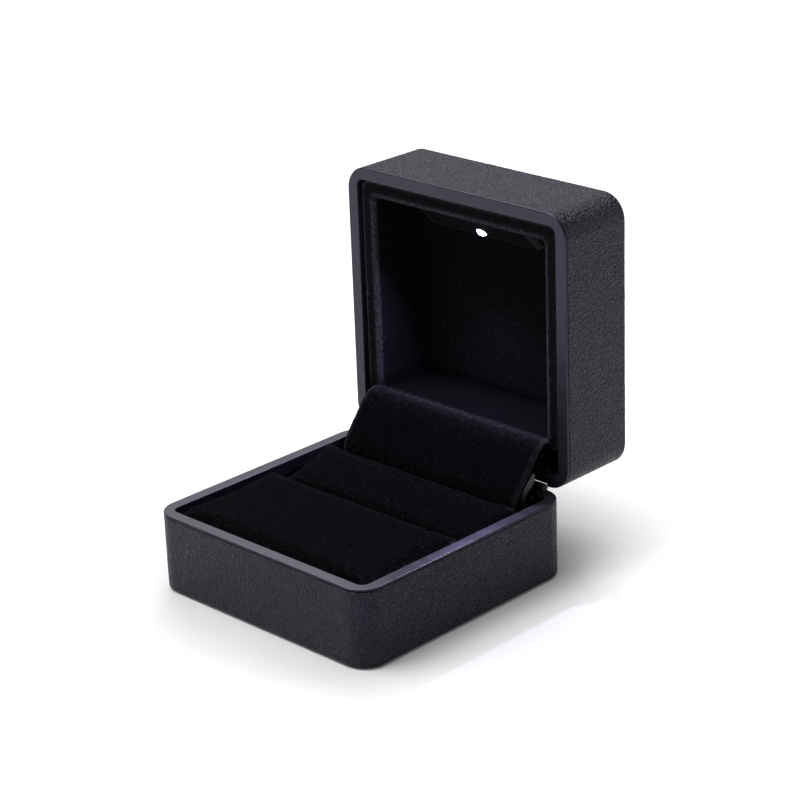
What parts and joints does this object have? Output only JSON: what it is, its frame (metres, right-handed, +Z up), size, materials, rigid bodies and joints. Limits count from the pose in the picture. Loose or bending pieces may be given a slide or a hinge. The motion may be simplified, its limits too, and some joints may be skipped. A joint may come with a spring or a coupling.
{
  "type": "ring box",
  "caption": "Square hinged box for one finger ring, with a padded slot, a snap lid and a small lamp in the lid that lights when it opens.",
  "frame": {"origin": "centre of the underside, between the left and right sides and between the front and back faces of the base", "axes": "+Z up; the front face looks along -Y; the hinge is at +Y and its axis runs along X"},
  "size_m": [0.066, 0.085, 0.0835],
  "materials": {
    "leatherette": "pebbled, soft sheen",
    "rim_plastic": "satin moulded",
    "shell_plastic": "moulded",
    "velvet": "short pile",
    "foam": "open cell foam",
    "card": "grey board",
    "paper": "fine grain",
    "hinge_steel": "zinc plated",
    "screw_steel": "plated",
    "led_epoxy": "clear epoxy, lit",
    "tinned_wire": "tinned",
    "circuit_board": "solder mask",
    "resistor_ceramic": "fired",
    "cell_steel": "nickel plated",
    "contact_brass": "spring temper",
    "wire_red": "PVC sleeve",
    "wire_black": "PVC sleeve",
    "switch_plastic": "moulded",
    "plunger_plastic": "moulded"
  },
  "bodies": {
    "base": {"base_shell": "shell_plastic", "base_leatherette": "leatherette", "base_rim": "rim_plastic", "base_bottom_sheet": "paper", "pad_board": "card", "front_pad_foam": "foam", "front_pad_velvet": "velvet", "rear_pad_foam": "foam", "rear_pad_velvet": "velvet", "hinge_base_leaf": "hinge_steel", "hinge_base_screws": "screw_steel", "hinge_pin": "hinge_steel", "hinge_spring": "hinge_steel"},
    "lid": {"lid_shell": "shell_plastic", "lid_leatherette": "leatherette", "lid_rim": "rim_plastic", "lid_liner": "velvet", "hinge_lid_leaf": "hinge_steel", "hinge_lid_screws": "screw_steel", "lamp_cover": "velvet", "led_lens": "led_epoxy", "led_leads": "tinned_wire", "led_board": "circuit_board", "led_resistor": "resistor_ceramic", "battery_holder": "shell_plastic", "button_cells": "cell_steel", "battery_contacts_rear": "contact_brass", "battery_contacts_front": "contact_brass", "battery_wire": "wire_red", "switch_wires": "wire_black", "switch_body": "switch_plastic"},
    "flap": {"flap_card": "card", "flap_velvet": "velvet"},
    "switch_button": {"switch_plunger": "plunger_plastic"}
  },
  "joints": [
    {"name": "lid_hinge", "type": "hinge", "parent": "base", "child": "lid", "pos_m": [0, 0.0325, 0.0188], "axis": [1, 0, 0], "range_deg": [-1.5, 90], "deforming": ["hinge_spring"]},
    {"name": "flap_fold", "type": "hinge", "parent": "lid", "child": "flap", "pos_m": [0, 0.033, 0.0299], "axis": [1, 0, 0], "range_deg": [-23.6, 0.6]},
    {"name": "switch_press", "type": "slide", "parent": "lid", "child": "switch_button", "axis": [0, 1, 0], "range_m": [-0.00002, 0.00101]}
  ],
  "couplings": [
    {"joint": "flap_fold", "follows": "lid_hinge", "ratio": -0.26},
    {"joint": "switch_press", "follows": "lid_hinge", "m_per_rad": 0.00063662}
  ]
}
